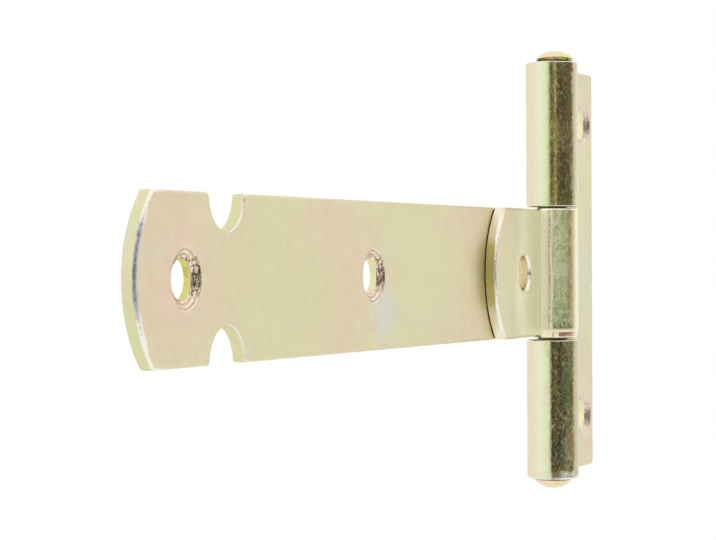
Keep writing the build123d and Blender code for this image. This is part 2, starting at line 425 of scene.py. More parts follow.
# --------------------------------------------------------------- strap leaf
ZC, HALF = -0.42, 12.15
ZT, ZB = ZC + HALF, ZC - HALF
TURN_DEG = 92.0
TURN = math.radians(TURN_DEG)
Y_LAP = RI - 0.12 - T / 2
R_JOG = (Y_LAP + RM * math.cos(TURN)) / (1 - math.cos(TURN))
JOG = (-(RM + R_JOG) * math.sin(TURN), -(RM + R_JOG) * math.cos(TURN))
LAP_END = -29.0
strap_section = Section(
    [
        ("line", -157.0, RM, 0.0, RM),
        ("arc", 0.0, 0.0, RM, 90.0, -90.0 - TURN_DEG),
        ("arc", JOG[0], JOG[1], R_JOG, 90.0 - TURN_DEG, 90.0),
        ("line", JOG[0], Y_LAP, LAP_END, Y_LAP),
    ],
    1,
)
S_ROLL = strap_section.parts[1][0]
S_FLAT = strap_section.parts[3][0]
S_END = strap_section.length


MARK_S = S_ROLL + RM * math.radians(90 + 168.4)  # a crease left by the rolling tool
RIDGE_S = S_ROLL + RM * math.radians(90 + 161.6)  # and the burnished ridge beside it


def strap_lift(s, z):
    """Marks of rolling on the outside of the knuckle: crease, ridge, a thinned band at its lower end, slight waves."""
    on = smooth(S_ROLL + 2.0, S_ROLL + 5.0, s) * smooth(S_FLAT - 0.6, S_FLAT - 1.6, s)
    ends = smooth(ZB + 1.6, ZB + 2.6, z) * smooth(ZT - 0.4, ZT - 1.2, z)
    wander = 0.10 * np.sin(z / 1.9) + 0.05 * np.sin(z / 0.53 + 1.0)
    crease = -0.030 * np.exp(-(((s - MARK_S - wander) / 0.16) ** 2)) * (0.75 + 0.25 * np.sin(z * 5.1))
    ridge = 0.030 * np.exp(-(((s - RIDGE_S - 0.6 * wander) / 0.15) ** 2))
    edge_z = ZB + 1.5 + 0.06 * np.sin(s / 0.7)
    band = -0.11 * smooth(edge_z, edge_z - 0.45, z) - 0.20 * smooth(edge_z - 0.4, ZB + 0.1, z)
    waves = 0.010 * np.sin(z / 1.7 + 0.8 * np.sin(s / 1.3)) + 0.008 * np.sin(z / 0.83 - s / 0.9)
    return on * (band + (crease + ridge + waves * 0.5) * ends)


def strap_spread(s, z):
    """Rolling squeezes the strip wider at the knuckle."""
    on = smooth(S_ROLL + 0.4, S_ROLL + 3.2, s) * smooth(S_FLAT + 0.2, S_FLAT - 2.2, s)
    u = (z - ZC) / HALF
    return on * np.where(u > 0, 0.27, 0.43) * u * np.abs(u) ** 2


cols = np.unique(
    np.round(
        np.r_[
            np.arange(2.5, S_ROLL - 1.5, 2.0),
            np.arange(S_ROLL - 1.4, MARK_S - 1.8, 0.23),
            np.arange(MARK_S - 1.8, MARK_S + 0.9, 0.075),
            np.arange(MARK_S + 1.0, S_FLAT + 1.0, 0.2),
            np.arange(S_FLAT + 1.2, S_END - 0.5, 1.6),
        ],
        4,
    )
)
rows = np.r_[np.array([0.75, 1.05, 1.35, 1.6, 1.8, 1.95, 2.1, 2.25, 2.4, 2.55, 2.75, 3.1]) + ZB, np.arange(ZB + 3.6, ZT - 0.9, 0.6)]

TIP_R, LIP, NR, NL, NS = 17.0, 0.9, 5.35, 0.7, 26.6
fs = TIP_R - math.sqrt((TIP_R - LIP) ** 2 - (HALF - LIP) ** 2)
fa = math.degrees(math.atan2(HALF - LIP, TIP_R - fs))
nd = math.sqrt((NR + NL) ** 2 - NL**2)
na = math.degrees(math.atan2(NL, nd))
c_end = S_END - TIP_R
strap_outline = outline(
    [
        ("A", fs, ZB + LIP, LIP, 180 + fa, 270, 0.12),
        ("A", NS - nd, ZB + NL, NL, 270, 360 - na, 0.12),
        ("A", NS, ZB, NR, 180 - na, na, 0.25),
        ("A", NS + nd, ZB + NL, NL, 180 + na, 270, 0.12),
        ("A", S_END - fs, ZB + LIP, LIP, 270, 360 - fa, 0.12),
        ("A", c_end, ZC, TIP_R, -fa, fa, 0.35),
        ("A", S_END - fs, ZT - LIP, LIP, fa, 90, 0.12),
        ("A", NS + nd, ZT - NL, NL, 90, 180 - na, 0.12),
        ("A", NS, ZT, NR, -na, -180 + na, 0.25),
        ("A", NS - nd, ZT - NL, NL, na, 90, 0.12),
        ("A", fs, ZT - LIP, LIP, 90, 180 - fa, 0.12),
        ("A", TIP_R, ZC, TIP_R, 180 - fa, 180 + fa, 0.35),
    ],
    cols,
    rows,
)

strap = Mesher(strap_section, strap_lift, strap_spread)
ls, lz = strap_outline[:, 0], strap_outline[:, 1]
lapped = smooth(S_ROLL - 1.0, S_ROLL + 2.0, ls)
a_round = 0.46 * (1 - lapped) + 0.18 * lapped
b_round = 0.14 * (1 - lapped) + 0.52 * lapped
uneven = 0.5 * np.sin(2.1 * lz + 0.7 * ls) + 0.3 * np.sin(5.3 * lz + 1.9 + 1.3 * ls) + 0.2 * np.sin(9.7 * lz + 0.4)
lap_tip = smooth(S_END - 5.0, S_END - 3.2, ls)
b_round = b_round + lap_tip * (0.02 + 0.16 * smooth(5.0, 9.0, np.abs(lz - ZC + 1.0)) - 0.10 * smooth(6.0, 3.0, np.abs(lz - ZC))) + 0.05 * uneven * lap_tip
a_round = a_round * (1 + 0.14 * uneven * smooth(9.0, 5.0, ls))
at_notch = smooth(NS - 1.0, NS + 1.5, ls) * smooth(NS + NR + 1.2, NS + NR + 0.2, ls)
on_knuckle = smooth(S_ROLL + 3, S_ROLL + 6, ls) * smooth(S_FLAT + 1, S_FLAT - 1, ls)
rim_wear_and_highlight = np.clip(0.10 + (0.45 + 0.45 * smooth(4.5, 8.0, np.abs(lz - 1.0))) * smooth(9.0, 5.0, ls) + 0.55 * at_notch + 0.85 * smooth(S_END - 5.5, S_END - 3.5, ls) + 0.6 * on_knuckle, 0, 1)
a_round = a_round * (1 - 0.30 * at_notch)
a_in = a_round + 0.62 * smooth(9.0, 5.0, ls) * smooth(10.8, 8.4, np.abs(lz - ZC))
ring_a, ring_b = strap.rim(strap_outline, a_in, a_round, b_round, b_round, wear_and_highlight=rim_wear_and_highlight)
holes_a, holes_b = [], []
for x, seed in ((-142.7, 0.4), (-78.8, 2.1)):
    prof, ripple = sunk_hole(seed=seed)
    ra, rb = strap.bore(x + 157.0, ZC, prof, ripple=ripple)
    holes_a.append(ra)
    holes_b.append(rb)
ra, rb = strap.bore(157.0 - 13.7, ZC, plain_hole(3.15, 0.03, 0.15, 4, 0.055), 96)
holes_a.append(ra)
holes_b.append(rb)
ra, rb = strap.bore(S_FLAT + (JOG[0] + 13.7), ZC, plain_hole(3.15, 0.03, 0.75, 9, 0.055), 120)
holes_a.append(ra)
holes_b.append(rb)


def strap_gap(c):
    return 0.14 if S_ROLL - 2 < c < S_FLAT + 1 else 0.6


grid, keep = grid_points(cols, rows, strap_gap)
strap.face([ring_a, *holes_a], 0.0, grid, keep)
strap.face([ring_b, *holes_b], T, grid, keep)
strap_piece = strap.build("strap_sheet")

# --------------------------------------------------------------- cross leaf
leaf_section = Section([("line", 33.0, RM, 0.0, RM), ("arc", 0.0, 0.0, RM, 90.0, 391.0)], -1)
L_END = leaf_section.length
L_ROLL = 33.0
CUT_S = 33.0 - 6.2
WT, WB = 12.25, -13.30
cols = np.unique(np.round(np.r_[np.arange(1.6, L_ROLL - 1.6, 2.0), np.arange(L_ROLL - 1.4, L_END - 0.3, 0.23)], 4))
rows = np.r_[np.array([-39.4, -39.1, -38.8, -38.4, -38.0]), np.arange(-37.3, -13.9, 0.8), np.arange(-12.0, 12.0, 2.4), np.arange(13.0, 39.4, 0.8)]
CR, KR = 0.62, 0.6
leaf_outline = outline(
    [
        ("A", CR, -40 + CR, CR, 180, 270, 0.12),
        ("A", L_END - KR, -40 + KR, KR, 270, 360, 0.08),
        ("A", L_END - KR, WB - KR, KR, 0, 90, 0.08),
        ("A", CUT_S + 1.0, WB + 1.0, 1.0, 270, 180, 0.12),
        ("A", CUT_S + 1.0, WT - 1.0, 1.0, 180, 90, 0.12),
        ("A", L_END - KR, WT + KR, KR, 270, 360, 0.08),
        ("A", L_END - KR, 40 - KR, KR, 0, 90, 0.08),
        ("A", CR, 40 - CR, CR, 90, 180, 0.12),
    ],
    cols,
    rows,
)


def leaf_lift(s, z):
    """Slight waves on the rolled knuckles, and their lower end hammered over by the rivet."""
    on = smooth(L_ROLL + 3.0, L_ROLL + 6.0, s) * smooth(L_END - 0.5, L_END - 2.5, s)
    clear = smooth(40.0, 38.8, np.abs(z)) * np.where(z > 0, smooth(WT, WT + 1.2, z), smooth(WB, WB - 1.2, z))
    waves = 0.012 * np.sin(z / 1.5 + 1.1 * np.sin(s / 1.6)) + 0.008 * np.sin(z / 0.71 - s / 1.1 + 2.0) + 0.010 * np.sin(z / 4.3 + s / 2.2)
    hammered = smooth(-38.2 + 0.35 * np.sin(s / 1.1), -39.9, z)
    return on * (waves * clear * 0.6 - 0.24 * hammered * (0.7 + 0.3 * np.sin(s / 0.8 + 1.0)))


leaf = Mesher(leaf_section, leaf_lift)
ls, lz = leaf_outline[:, 0], leaf_outline[:, 1]
rolled = smooth(L_ROLL - 1.0, L_ROLL + 2.5, ls)
a_round = 0.42 * (1 - rolled) + 0.16 * rolled
low_end = smooth(-39.0, -39.8, lz)
b_round = 0.14 * (1 - rolled) + (0.26 + 0.30 * low_end) * rolled
b_round = b_round - (0.04 + 0.30 * low_end) * smooth(L_END - 3.2, L_END - 0.8, ls)
leaf_wear_and_highlight = np.clip(0.10 + 0.8 * rolled * (0.6 + 0.4 * np.sin(ls / 1.3)), 0, 1)
ring_a, ring_b = leaf.rim(leaf_outline, a_round, a_round, b_round, b_round, wear_and_highlight=leaf_wear_and_highlight)
holes_a, holes_b = [], []
for z, seed in ((-29.5, 1.2), (29.5, 3.3)):
    prof, ripple = sunk_hole(seed=seed, size=0.36)
    ra, rb = leaf.bore(33.0 - 27.1, z, prof, ripple=ripple)
    holes_a.append(ra)
    holes_b.append(rb)


def leaf_gap(c):
    return 0.14 if c > L_ROLL - 2 else 0.5


grid, keep = grid_points(cols, rows, leaf_gap)
leaf.face([ring_a, *holes_a], 0.0, grid, keep)
leaf.face([ring_b, *holes_b], T, grid, keep)
leaf_piece = leaf.build("leaf_sheet")


# --------------------------------------------------------------------- pin
def lathe(profile, count=96, shape=None):
    """Turns rows of radius, z into points and faces; the first and last rows close on the axis."""
    a = np.linspace(0, 2 * math.pi, count, endpoint=False)
    co, faces = [], []
    ring0 = None
    for r, z in profile:
        if r < 1e-6:
            co.append([[0.0, 0.0, z]])
            ring = [sum(map(len, co)) - 1]
        else:
            rr, zz = r + 0 * a, z + 0 * a
            if shape is not None:
                rr, zz = shape(rr, zz, a)
            start = sum(map(len, co))
            co.append(np.c_[rr * np.cos(a), rr * np.sin(a), zz].tolist())
            ring = list(range(start, start + count))
        if ring0 is not None:
            if len(ring0) == 1:
                faces += [(ring0[0], ring[(i + 1) % count], ring[i]) for i in range(count)]
            elif len(ring) == 1:
                faces += [(ring0[i], ring0[(i + 1) % count], ring[0]) for i in range(count)]
            else:
                faces += [(ring0[i], ring0[(i + 1) % count], ring[(i + 1) % count], ring[i]) for i in range(count)]
        ring0 = ring
    return np.array([p for part in co for p in part]), faces


def dome(d, h, z0, sign):
    """Half section of a formed head, from its underside outwards and over the top."""
    r = d / 2
    under = [(PIN_R, z0), (r - 0.25, z0)]
    rim = [(r - 0.25 + 0.25 * math.sin(t), z0 + sign * 0.17 * (1 - math.cos(t))) for t in np.linspace(0.25, math.pi / 2, 5)]
    top = []
    base = 0.17
    for i in range(1, 15):
        u = i / 14
        x = r * (1 - u)
        top.append((x, z0 + sign * (base + (h - base) * (1 - (x / r) ** 2.15) ** 0.82)))
    return under + rim + top


lower = dome(7.1, 1.75, -40.12, -1)
upper = dome(7.3, 1.75, 40.50, 1)
HEAD_OFF = np.array([0.24, -0.53])
shank = [(PIN_R, z) for z in np.linspace(-40.0, 40.1, 30)]
profile = lower[::-1] + shank + upper


def struck(r, z, a):
    """The heads are peened: slightly out of round, with a thin lip on one side."""
    top = smooth(40.25, 40.6, z)
    low = smooth(-40.1, -40.5, z)
    out = np.clip(r / 3.55, 0, 1.05) ** 3
    r = r * (1 + (top + low) * out * (0.010 * np.sin(3 * a + 0.6) + 0.007 * np.sin(5 * a + 2.0) - 0.020))
    # flats left by the punch
    z = z - (top - low) * 0.05 * out * (1 + np.sin(2 * a + 1.2)) * np.where(np.abs(z) > 40.75, 1.0, 0.0)
    return r, z


co, faces = lathe(profile, 96, struck)
on_head = smooth(40.15, 40.45, co[:, 2])
co[:, :2] += HEAD_OFF * on_head[:, None]
# it sits a little open at the front
lean = (co[:, 0] - HEAD_OFF[0]) * -0.9126 + (co[:, 1] - HEAD_OFF[1]) * -0.409
co[:, 2] += on_head * 0.085 * lean
pin_piece = make_object("rivet", co, faces)
pin_piece.data.set_sharp_from_angle(angle=math.radians(50))


# ---------------------------------------------------------------- materials
def rgb(r, g, b):
    """A display colour, 0 to 255, as linear light."""
    return tuple(((v / 255) / 12.92 if v / 255 <= 0.04045 else ((v / 255 + 0.055) / 1.055) ** 2.4) for v in (r, g, b)) + (1.0,)


class Nodes:
    def __init__(self, tree):
        self.t = tree

    def new(self, kind, **values):
        n = self.t.nodes.new(kind)
        for k, v in values.items():
            setattr(n, k, v)
        return n

    def link(self, a, b):
        self.t.links.new(a, b)

    def value(self, socket, v):
        if isinstance(v, bpy.types.NodeSocket):
            self.link(v, socket)
        elif v is not None:
            socket.default_value = v

    def math(self, op, a, b=None, c=None, clamp=False):
        n = self.new("ShaderNodeMath", operation=op, use_clamp=clamp)
        for i, v in enumerate((a, b, c)):
            if v is not None:
                self.value(n.inputs[i], v)
        return n.outputs[0]

    def ramp(self, x, a, b, lo=0.0, hi=1.0, kind="SMOOTHSTEP"):
        n = self.new("ShaderNodeMapRange", interpolation_type=kind)
        self.value(n.inputs["Value"], x)
        for k, v in (("From Min", a), ("From Max", b), ("To Min", lo), ("To Max", hi)):
            self.value(n.inputs[k], v)
        return n.outputs["Result"]

    def mix(self, f, a, b, mode="MIX"):
        n = self.new("ShaderNodeMix", data_type="RGBA", blend_type=mode)
        self.value(n.inputs[0], f)
        self.value(n.inputs[6], a)
        self.value(n.inputs[7], b)
        return n.outputs[2]

    def noise(self, at, scale, detail=2.0, rough=0.5, distort=0.0):
        n = self.new("ShaderNodeTexNoise")
        self.link(at, n.inputs["Vector"])
        for k, v in (("Scale", scale), ("Detail", detail), ("Roughness", rough), ("Distortion", distort)):
            n.inputs[k].default_value = v
        return n.outputs["Fac"]

    def vec(self, op, a, b=None):
        n = self.new("ShaderNodeVectorMath", operation=op)
        self.value(n.inputs[0], a)
        if b is not None:
            self.value(n.inputs[1], b)
        return n.outputs["Value"] if op in ("LENGTH", "DOT_PRODUCT", "DISTANCE") else n.outputs[0]


class Place:
    """Where a point of a piece is, in mm in the pin's frame, as node sockets."""

    def __init__(self, n):
        self.n = n
        self.at = n.new("ShaderNodeTexCoord").outputs["Object"]
        sep = n.new("ShaderNodeSeparateXYZ")
        n.link(self.at, sep.inputs[0])
        self.x = n.math("MULTIPLY_ADD", sep.outputs[0], 1000.0, float(FRAME_AT[0]))
        self.y = n.math("MULTIPLY_ADD", sep.outputs[1], 1000.0, float(FRAME_AT[1]))
        self.z = n.math("MULTIPLY", sep.outputs[2], 1000.0)

    def noise(self, scale_mm, detail=2.0, rough=0.5, distort=0.0, shift=(0.0, 0.0, 0.0), stretch=(1.0, 1.0, 1.0)):
        """Noise with features of about scale_mm; a stretch above 1 draws it out along that axis."""
        n = self.n
        v = n.vec("MULTIPLY", self.at, tuple(1000.0 / (2.2 * scale_mm * s) for s in stretch))
        v = n.vec("ADD", v, shift)
        return n.noise(v, 1.0, detail, rough, distort)

    def blob(self, cx, cz, rx, rz, soft, wander):
        """A soft patch on the face, 1 in its middle, with an edge pushed about by noise."""
        n = self.n
        dx = n.math("DIVIDE", n.math("SUBTRACT", self.x, cx), rx)
        dz = n.math("DIVIDE", n.math("SUBTRACT", self.z, cz), rz)
        d = n.math("SQRT", n.math("ADD", n.math("MULTIPLY", dx, dx), n.math("MULTIPLY", dz, dz)))
        d = n.math("ADD", d, n.math("MULTIPLY_ADD", wander, 2.0, -1.0))
        return n.ramp(d, 1.0 + soft, 1.0 - soft)


def sheet_finish(name):
    """Zinc plate with a yellow iridescent passivation, on rolled and punched sheet."""
    mat = bpy.data.materials.new(name)
    mat.use_nodes = True
    n = Nodes(mat.node_tree)
    mat.node_tree.nodes.clear()
    out = n.new("ShaderNodeOutputMaterial")
    bsdf = n.new("ShaderNodeBsdfPrincipled")
    n.link(bsdf.outputs[0], out.inputs[0])
    bsdf.inputs["Metallic"].default_value = 1.0
    p = Place(n)
    wear_and_highlight = n.new("ShaderNodeAttribute", attribute_name="wear_and_highlight").outputs["Fac"]
    cut = n.new("ShaderNodeAttribute", attribute_name="sheared").outputs["Fac"]
    bored = n.new("ShaderNodeAttribute", attribute_name="bored").outputs["Fac"]

    # colours of the film on the flat faces: large soft fields, each a little off the next; the fields at x -20 and
    # -11.5 are painted light, lightening the lap's face towards the knuckle
    wide = p.noise(17.0, 2.0, 0.45, 0.4)
    mid = p.noise(9.0, 3.0, 0.5, 0.6, (3.1, 1.7, 0.4))
    small = p.noise(4.5, 3.0, 0.55, 0.3, (7.3, 4.2, 9.1))
    base = n.mix(n.ramp(wide, 0.40, 0.60), rgb(223, 208, 174), rgb(219, 214, 173))
    for cx, cz, rx, rz, soft, colour, most in (
        (-148.0, 2.0, 13.0, 16.0, 0.5, (226, 205, 178), 0.8),
        (-112.0, -1.0, 17.0, 11.0, 0.6, (217, 213, 170), 0.9),
        (-95.0, 8.0, 12.0, 5.0, 0.6, (226, 207, 178), 0.6),
        (-75.5, -6.8, 5.0, 4.2, 0.7, (211, 214, 204), 0.8),
        (-50.0, 4.0, 16.0, 9.0, 0.6, (221, 216, 174), 0.8),
        (-20.0, 0.0, 9.5, 15.0, 0.5, (226, 220, 182), 0.85),
        (-11.5, 0.0, 5.5, 16.0, 0.6, (252, 248, 218), 0.85),
        (20.0, 0.0, 14.0, 9.0, 0.6, (212, 216, 190), 0.7),
        (20.0, 24.0, 14.0, 14.0, 0.6, (225, 218, 178), 0.7),
        (20.0, -26.0, 14.0, 14.0, 0.6, (220, 208, 180), 0.6),
    ):
        spot = p.blob(cx, cz, rx, rz, soft, mid)
        base = n.mix(n.math("MULTIPLY", spot, most), base, rgb(*colour))
    base = n.mix(n.math("MULTIPLY", n.ramp(mid, 0.58, 0.74), 0.55), base, rgb(226, 202, 176))
    base = n.mix(n.math("MULTIPLY", n.ramp(small, 0.58, 0.76), 0.5), base, rgb(209, 214, 186))
    for cx, cz in ((-142.7, -0.42), (-78.8, -0.42), (27.1, 29.5), (27.1, -29.5)):
        halo = n.math("SUBTRACT", p.blob(cx, cz, 7.0, 7.2, 0.28, small), p.blob(cx, cz, 4.2, 4.2, 0.05, 0.5))
        base = n.mix(n.math("MULTIPLY", halo, 0.35, clamp=True), base, rgb(231, 204, 186))

    # painted light: the lap's face just beside the knuckle is lightened almost to white
    painted_light_by_knuckle = n.math("MULTIPLY", n.math("MULTIPLY", n.ramp(p.x, -12.5, -8.5), n.ramp(p.x, -2.5, -3.5)), n.ramp(p.y, 2.80, 2.70))
    base = n.mix(painted_light_by_knuckle, base, rgb(255, 250, 220))

    # round the barrel the film was stretched: it turns from peach through lime to olive; the darker olive across the
    # knuckles' front is also a painted reflection of the dark side
    r = n.math("SQRT", n.math("ADD", n.math("MULTIPLY", p.x, p.x), n.math("MULTIPLY", p.y, p.y)))
    phi = n.math("MULTIPLY", n.math("ARCTAN2", p.y, p.x), 180 / math.pi)
    wander = p.noise(0.9, 3.0, 0.6, 0.4, (2.0, 5.0, 1.0))
    rel = n.math("WRAP", n.math("ADD", phi, 155.9), 180.0, -180.0)
    rel_w = n.math("ADD", rel, n.math("MULTIPLY_ADD", wander, 9.0, -4.5))
    on_roll = n.math("MULTIPLY", n.ramp(r, 5.35, 5.05), n.ramp(p.y, 4.2, 3.4))
    centre = n.math("MULTIPLY", n.ramp(p.z, -13.15, -13.05), n.ramp(p.z, 12.12, 12.02))
    strip = n.new("ShaderNodeValToRGB")
    n.link(n.math("MULTIPLY_ADD", rel_w, 1 / 360.0, 0.5), strip.inputs[0])
    stops = (
        (-130, (222, 210, 178)),
        (-90, (232, 213, 182)),
        (-62, (228, 213, 187)),
        (-34, (230, 226, 202)),
        (-22, (221, 226, 188)),
        (-14, (210, 225, 170)),
        (-8, (196, 188, 112)),
        (8, (200, 188, 122)),
        (14, (164, 157, 98)),
        (30, (178, 162, 110)),
        (48, (182, 164, 116)),
        (57, (203, 195, 166)),
        (80, (208, 210, 184)),
        (110, (221, 212, 176)),
    )
    ramp = strip.color_ramp
    while len(ramp.elements) < len(stops):
        ramp.elements.new(0.5)
    for e, (deg, colour) in zip(ramp.elements, stops):
        e.position = deg / 360 + 0.5
    for e, (deg, colour) in zip(ramp.elements, stops):
        e.color = rgb(*colour)
    rolled = strip.outputs[0]
    front = n.math("MULTIPLY", n.ramp(n.math("MULTIPLY_ADD", centre, -4.0, rel_w), -10.0, -6.5), n.ramp(n.math("MULTIPLY_ADD", centre, 9.0, rel_w), 56.0, 49.0))
    green = p.noise(1.3, 3.0, 0.6, 0.6, (11.0, 2.0, 6.0), (1, 1, 3.2))
    brown = p.noise(0.9, 3.0, 0.6, 0.6, (4.0, 9.0, 3.0), (1, 1, 3.0))
    speck = p.noise(0.20, 3.0, 0.65, 0.0, (1.0, 1.0, 7.0), (1, 1, 1.8))
    weave = p.noise(0.135, 2.0, 0.75, 0.0, (3.0, 6.0, 1.0), (1, 1, 1.4))
    rolled = n.mix(n.math("MULTIPLY", n.math("MULTIPLY", front, n.ramp(green, 0.50, 0.60)), 0.5), rolled, rgb(140, 146, 112))
    rolled = n.mix(n.math("MULTIPLY", n.math("MULTIPLY", front, n.ramp(brown, 0.50, 0.64)), 0.70), rolled, rgb(154, 128, 92))
    bottom = n.ramp(p.z, -12.5, -14.0)
    # painted reflection: a dark olive stripe down the front of the lower knuckle
    rolled = n.mix(n.math("MULTIPLY", n.math("MULTIPLY", bottom, n.ramp(rel_w, -9.5, -7.0)), n.ramp(rel_w, 20.0, 10.0, 0.0, 0.9)), rolled, rgb(134, 124, 82))
    rolled = n.mix(n.math("MULTIPLY", n.math("MULTIPLY", bottom, n.ramp(green, 0.40, 0.55)), n.math("MULTIPLY", n.ramp(rel_w, -30.0, -22.0), n.ramp(rel_w, -9.0, -12.0, 0.0, 0.7))), rolled, rgb(222, 216, 186))
    rolled = n.mix(n.math("MULTIPLY", bottom, n.ramp(rel_w, 48.0, 54.0, 0.0, 0.7)), rolled, rgb(192, 182, 150))
    stained = n.math("MULTIPLY", n.ramp(n.math("ABSOLUTE", n.math("ADD", p.z, 22.0)), 7.0, 3.0), n.ramp(n.math("ABSOLUTE", n.math("SUBTRACT", rel_w, 27.0)), 15.0, 8.0, 0.0, 0.60))
    rolled = n.mix(n.math("MULTIPLY", front, stained), rolled, rgb(160, 190, 126))
    yellowed = n.math("MULTIPLY", n.ramp(n.math("MULTIPLY_ADD", green, 6.0, p.z), -27.0, -31.0), n.ramp(n.math("ABSOLUTE", n.math("SUBTRACT", rel_w, 25.0)), 17.0, 9.0, 0.0, 0.55))
    rolled = n.mix(n.math("MULTIPLY", front, yellowed), rolled, rgb(206, 200, 148))
    rolled = n.mix(n.math("MULTIPLY", front, n.math("MULTIPLY", bottom, n.ramp(rel_w, 10.0, 18.0, 0.0, 0.22))), rolled, rgb(206, 198, 150))
    # the strap's knuckle is duller and greener
    dull = n.mix(n.ramp(green, 0.40, 0.62), rgb(234, 229, 172), rgb(221, 229, 174))
    dull = n.mix(n.math("MULTIPLY", n.ramp(brown, 0.54, 0.66), 0.40), dull, rgb(226, 210, 168))
    # painted light: the strap's knuckle beside its front is lightened almost to white
    painted_light_flank = n.math("MULTIPLY", centre, n.ramp(rel_w, -6.5, -10.0))
    rolled = n.mix(painted_light_flank, rolled, rgb(255, 252, 224))
    rolled = n.mix(n.math("MULTIPLY", front, centre), rolled, dull)
    rolled = n.mix(n.math("MULTIPLY", centre, n.ramp(rel_w, 38.0, 45.0)), rolled, n.mix(n.ramp(rel_w, 44.0, 56.0), rgb(222, 206, 164), rgb(236, 230, 194)))
    rolled = n.mix(n.math("MULTIPLY", front, n.math("MULTIPLY", n.ramp(speck, 0.50, 0.62), n.math("MULTIPLY_ADD", centre, -0.18, 0.34))), rolled, rgb(104, 98, 54))
    bands = p.noise(0.75, 3.0, 0.6, 0.4, (2.0, 2.0, 5.0), (1.8, 1.8, 1.0))
    lines = p.noise(0.34, 3.0, 0.6, 0.2, (9.0, 2.0, 5.0), (1.0, 1.0, 3.0))
    mixed = n.math("ADD", n.math("MULTIPLY", weave, 0.5), n.math("ADD", n.math("MULTIPLY", bands, 0.25), n.math("MULTIPLY", lines, 0.25)))
    rolled = n.mix(n.math("MULTIPLY", n.math("MULTIPLY", front, centre), n.ramp(mixed, 0.45, 0.60, 0.0, 0.62)), rolled, rgb(142, 134, 88))
    rolled = n.mix(n.math("MULTIPLY", n.math("MULTIPLY", front, centre), n.ramp(mixed, 0.50, 0.40, 0.0, 0.60)), rolled, rgb(255, 252, 222))
    inner = n.math("MULTIPLY", front, centre)
    browned = n.math("MULTIPLY", n.ramp(n.math("ABSOLUTE", n.math("SUBTRACT", rel_w, 37.0)), 10.0, 3.0), n.ramp(bands, 0.36, 0.56, 0.25, 0.60))
    rolled = n.mix(n.math("MULTIPLY", inner, browned), rolled, rgb(172, 148, 104))
    greened = n.math("MULTIPLY", n.ramp(p.z, -3.5, -7.5), n.ramp(rel_w, 32.0, 18.0, 0.0, 0.75))
    rolled = n.mix(n.math("MULTIPLY", inner, greened), rolled, rgb(208, 232, 220), "MULTIPLY")
    footed = n.math("MULTIPLY", n.ramp(p.z, -6.5, -10.5), n.ramp(mixed, 0.48, 0.56, 0.0, 0.55))
    rolled = n.mix(n.math("MULTIPLY", inner, footed), rolled, rgb(116, 112, 66))
    paled = n.math("MULTIPLY", n.ramp(n.math("ABSOLUTE", n.math("SUBTRACT", p.z, 0.2)), 4.5, 1.0), n.ramp(rel_w, 34.0, 22.0, 0.0, 0.30))
    rolled = n.mix(n.math("MULTIPLY", inner, paled), rolled, rgb(244, 246, 208))
    bright = p.noise(0.26, 2.0, 0.6, 0.3, (6.0, 2.0, 9.0), (1, 1, 1.8))
    rolled = n.mix(n.math("MULTIPLY", front, n.math("MULTIPLY", n.ramp(bright, 0.55, 0.64), n.math("MULTIPLY_ADD", centre, 0.0, 0.40))), rolled, rgb(246, 240, 206))
    # a crease left by the rolling tool, stained in dots, and a burnished line beside it
    bend = n.math("ADD", rel, n.math("MULTIPLY", n.math("SINE", n.math("DIVIDE", p.z, 1.9)), 1.1))
    rolled = n.mix(n.math("MULTIPLY", centre, n.math("MULTIPLY", n.ramp(bend, -21.0, -15.0), n.ramp(bend, -8.0, -9.5, 0.0, 0.7))), rolled, rgb(236, 224, 184))
    trace = n.math("MULTIPLY", n.math("MULTIPLY", centre, n.ramp(p.z, -11.1, -10.7)), n.ramp(n.math("ABSOLUTE", n.math("ADD", bend, 11.4)), 2.4, 1.0))
    rolled = n.mix(n.math("MULTIPLY", trace, n.ramp(p.noise(0.22, 2.0, 0.6, 0.0, (7.0, 7.0, 3.0), (1, 1, 1.2)), 0.44, 0.56, 0.0, 0.65)), rolled, rgb(170, 152, 108))
    shine = n.math("MULTIPLY", centre, n.ramp(n.math("ABSOLUTE", n.math("ADD", bend, 6.2)), 3.0, 1.7))
    rolled = n.mix(n.math("MULTIPLY", shine, 0.95), rolled, rgb(255, 253, 228))
    # its lower end is pressed thin and rubbed bright, with a brown streak drawn round it
    streak = p.noise(0.20, 3.0, 0.6, 0.0, (5.0, 3.0, 6.0), (4.0, 4.0, 0.7))
    pressed = n.math("MULTIPLY", centre, n.ramp(p.z, -11.0, -11.2))
    streak_at = n.math("MULTIPLY", n.math("MULTIPLY", n.ramp(p.z, -11.68, -11.85), n.ramp(p.z, -12.75, -12.5)), n.math("MULTIPLY", n.ramp(rel_w, 8.0, 10.5), n.ramp(rel_w, 58.0, 34.0, 0.20, 0.90)))
    streaked = n.mix(n.ramp(streak, 0.40, 0.60), rgb(132, 106, 64), rgb(186, 160, 118))
    streaked = n.mix(n.ramp(p.z, -12.25, -11.95, 0.0, 0.6), streaked, rgb(118, 92, 54))
    rubbed_low = n.mix(streak_at, rgb(250, 238, 210), streaked)
    spot_at = n.math("MULTIPLY", n.math("MULTIPLY", n.ramp(rel_w, -8.5, -6.0), n.ramp(rel_w, -1.0, -3.5)), n.math("MULTIPLY", n.ramp(p.z, -11.7, -11.95), n.ramp(p.z, -12.9, -12.55, 0.0, 0.55)))
    rubbed_low = n.mix(spot_at, rubbed_low, rgb(140, 118, 80))
    rolled = n.mix(n.math("MULTIPLY", pressed, n.ramp(rel_w, -14.0, -8.0)), rolled, rubbed_low)
    beaten = n.math("MULTIPLY", n.ramp(n.math("ADD", p.z, n.math("MULTIPLY", brown, 0.8)), -37.9, -38.4), front)
    rolled = n.mix(n.math("MULTIPLY", beaten, 0.85), rolled, n.mix(n.ramp(rel_w, 4.0, 26.0), rgb(118, 112, 84), rgb(204, 204, 190)))
    base = n.mix(on_roll, base, rolled)

